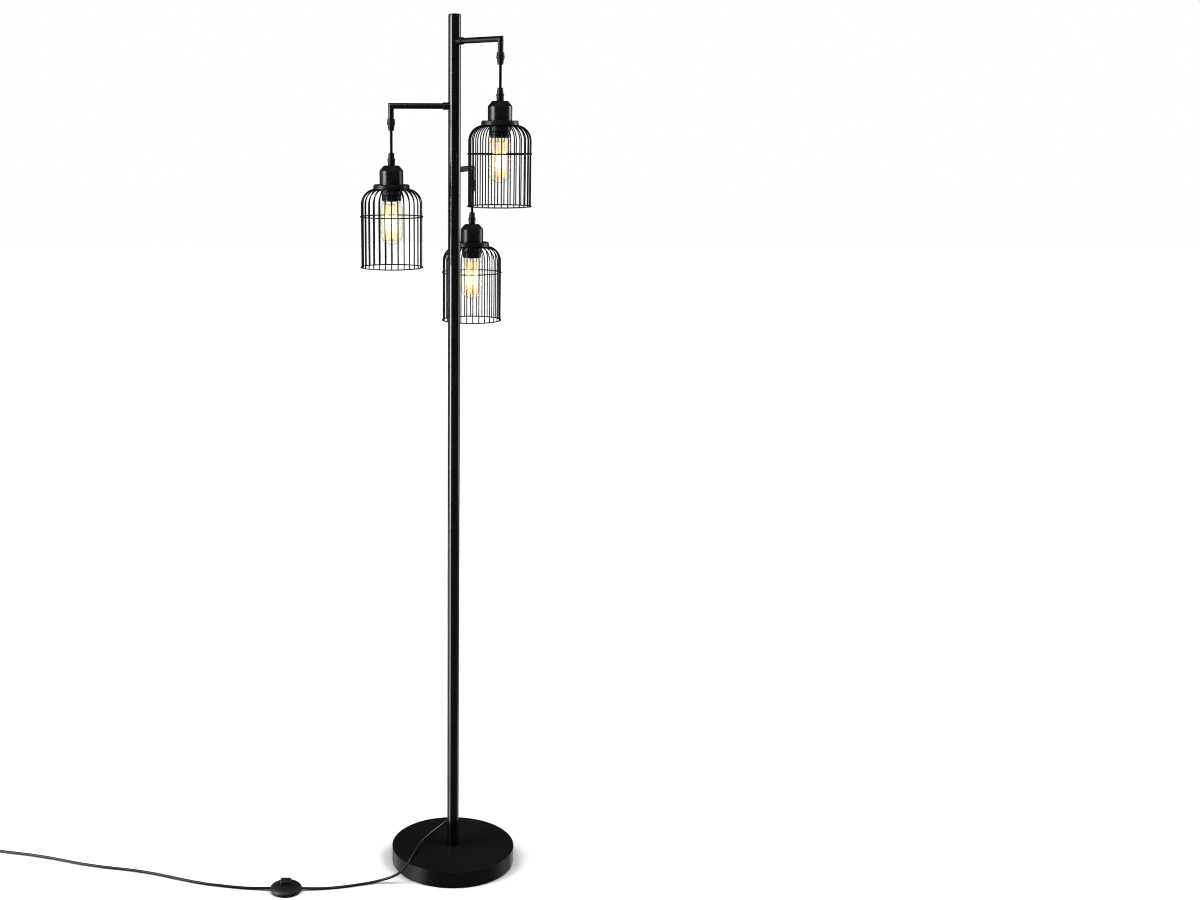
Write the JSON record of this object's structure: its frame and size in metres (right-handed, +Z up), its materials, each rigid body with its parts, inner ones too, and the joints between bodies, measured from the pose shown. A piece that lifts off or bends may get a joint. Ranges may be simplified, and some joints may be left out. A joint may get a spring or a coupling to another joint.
{
  "type": "cage floor lamp",
  "caption": "Tall black floor lamp with a round weighted base, angled arms on a sectional pole, hanging wire cage shades, tubular bulbs, foot switch and mains lead.",
  "frame": {"origin": "pole's axis on the underside of the base, on the floor", "axes": "+Z up along the pole, +X to the right and +Y to the rear as the picture shows the lamp"},
  "size_m": [1.3497, 0.3632, 1.8038],
  "materials": {
    "black_paint": "satin black powder coat",
    "arm_paint": "soft satin black",
    "cup_paint": "semi-matt black, fine grain",
    "wire_paint": "black dipped wire",
    "holder_plastic": "matt black moulded plastic",
    "grip_plastic": "matt black plastic with a fine grain",
    "cord_jacket": "smooth black cord jacket",
    "switch_plastic": "semi-gloss black plastic",
    "plug_plastic": "matt black moulded plastic",
    "bulb_glass": "clear, faintly amber",
    "bulb_cap": "thin drawn cap",
    "filament": "coated filament, warm white when lit",
    "zinc_steel": "zinc plated steel",
    "pin_metal": "nickel plated brass",
    "weight_iron": "rough casting",
    "pad_foam": "dense foam rubber",
    "core_wire": "insulated twin core"
  },
  "bodies": {
    "stand": {"base_cover": "black_paint", "base_weight": "weight_iron", "base_pad": "pad_foam", "base_nut": "zinc_steel", "pole_bottom": "black_paint", "pole_middle": "black_paint", "pole_upper": "black_paint", "pole_connectors": "zinc_steel", "pole_cap": "grip_plastic", "arm_collars": "arm_paint", "arm_nuts": "zinc_steel", "arm_tubes": "arm_paint", "inner_wiring": "core_wire", "arm_grips": "grip_plastic", "arm_grip_nuts": "grip_plastic", "lead_grommet": "grip_plastic", "lead_lamp_side": "cord_jacket", "lead_plug_side": "cord_jacket", "lead_coil": "cord_jacket", "coil_tie": "grip_plastic", "plug_body": "plug_plastic", "plug_pins": "pin_metal", "switch_base": "switch_plastic", "switch_cover": "switch_plastic", "switch_spring": "zinc_steel", "switch_screws": "zinc_steel"},
    "upper_pendant_cord": {"upper_cord": "cord_jacket"},
    "upper_shade": {"upper_shade_grip": "grip_plastic", "upper_cup": "cup_paint", "upper_cage_disc": "cup_paint", "upper_cage_wires": "wire_paint", "upper_cage_rings": "wire_paint", "upper_shade_ring": "holder_plastic", "upper_socket": "holder_plastic"},
    "upper_bulb": {"upper_bulb_cap": "bulb_cap", "upper_bulb_glass": "bulb_glass", "upper_bulb_filament": "filament"},
    "middle_pendant_cord": {"middle_cord": "cord_jacket"},
    "middle_shade": {"middle_shade_grip": "grip_plastic", "middle_cup": "cup_paint", "middle_cage_disc": "cup_paint", "middle_cage_wires": "wire_paint", "middle_cage_rings": "wire_paint", "middle_shade_ring": "holder_plastic", "middle_socket": "holder_plastic"},
    "middle_bulb": {"middle_bulb_cap": "bulb_cap", "middle_bulb_glass": "bulb_glass", "middle_bulb_filament": "filament"},
    "lower_pendant_cord": {"lower_cord": "cord_jacket"},
    "lower_shade": {"lower_shade_grip": "grip_plastic", "lower_cup": "cup_paint", "lower_cage_disc": "cup_paint", "lower_cage_wires": "wire_paint", "lower_cage_rings": "wire_paint", "lower_shade_ring": "holder_plastic", "lower_socket": "holder_plastic"},
    "lower_bulb": {"lower_bulb_cap": "bulb_cap", "lower_bulb_glass": "bulb_glass", "lower_bulb_filament": "filament"},
    "switch_button": {"switch_button": "switch_plastic"}
  },
  "joints": [
    {"name": "upper_swing", "type": "hinge", "parent": "stand", "child": "upper_pendant_cord", "pos_m": [0.08798, -0.09434, 1.7044], "axis": [-0.7314, -0.682, 0], "range_deg": [-10, 25]},
    {"name": "upper_side_swing", "type": "hinge", "parent": "upper_pendant_cord", "child": "upper_shade", "pos_m": [0.08798, -0.09434, 1.6568], "axis": [0.682, -0.7314, 0], "range_deg": [-10, 10]},
    {"name": "upper_bulb_removal", "type": "slide", "parent": "upper_shade", "child": "upper_bulb", "axis": [0, 0, -1], "range_m": [0, 0.165]},
    {"name": "middle_swing", "type": "hinge", "parent": "stand", "child": "middle_pendant_cord", "pos_m": [-0.12569, -0.02902, 1.5789], "axis": [-0.225, 0.9744, 0], "range_deg": [-10, 25]},
    {"name": "middle_side_swing", "type": "hinge", "parent": "middle_pendant_cord", "child": "middle_shade", "pos_m": [-0.12569, -0.02902, 1.5313], "axis": [-0.9744, -0.225, 0], "range_deg": [-10, 10]},
    {"name": "middle_bulb_removal", "type": "slide", "parent": "middle_shade", "child": "middle_bulb", "axis": [0, 0, -1], "range_m": [0, 0.165]},
    {"name": "lower_swing", "type": "hinge", "parent": "stand", "child": "lower_pendant_cord", "pos_m": [0.03772, 0.12336, 1.4534], "axis": [0.9563, -0.2924, 0], "range_deg": [-10, 25]},
    {"name": "lower_side_swing", "type": "hinge", "parent": "lower_pendant_cord", "child": "lower_shade", "pos_m": [0.03772, 0.12336, 1.4058], "axis": [0.2924, 0.9563, 0], "range_deg": [-10, 10]},
    {"name": "lower_bulb_removal", "type": "slide", "parent": "lower_shade", "child": "lower_bulb", "axis": [0, 0, -1], "range_m": [0, 0.165]},
    {"name": "switch_press", "type": "slide", "parent": "stand", "child": "switch_button", "axis": [0, 0, -1], "range_m": [0, 0.003], "stiffness_N_per_m": 600, "springref_m": -0.002, "deforming": ["switch_spring"]}
  ]
}
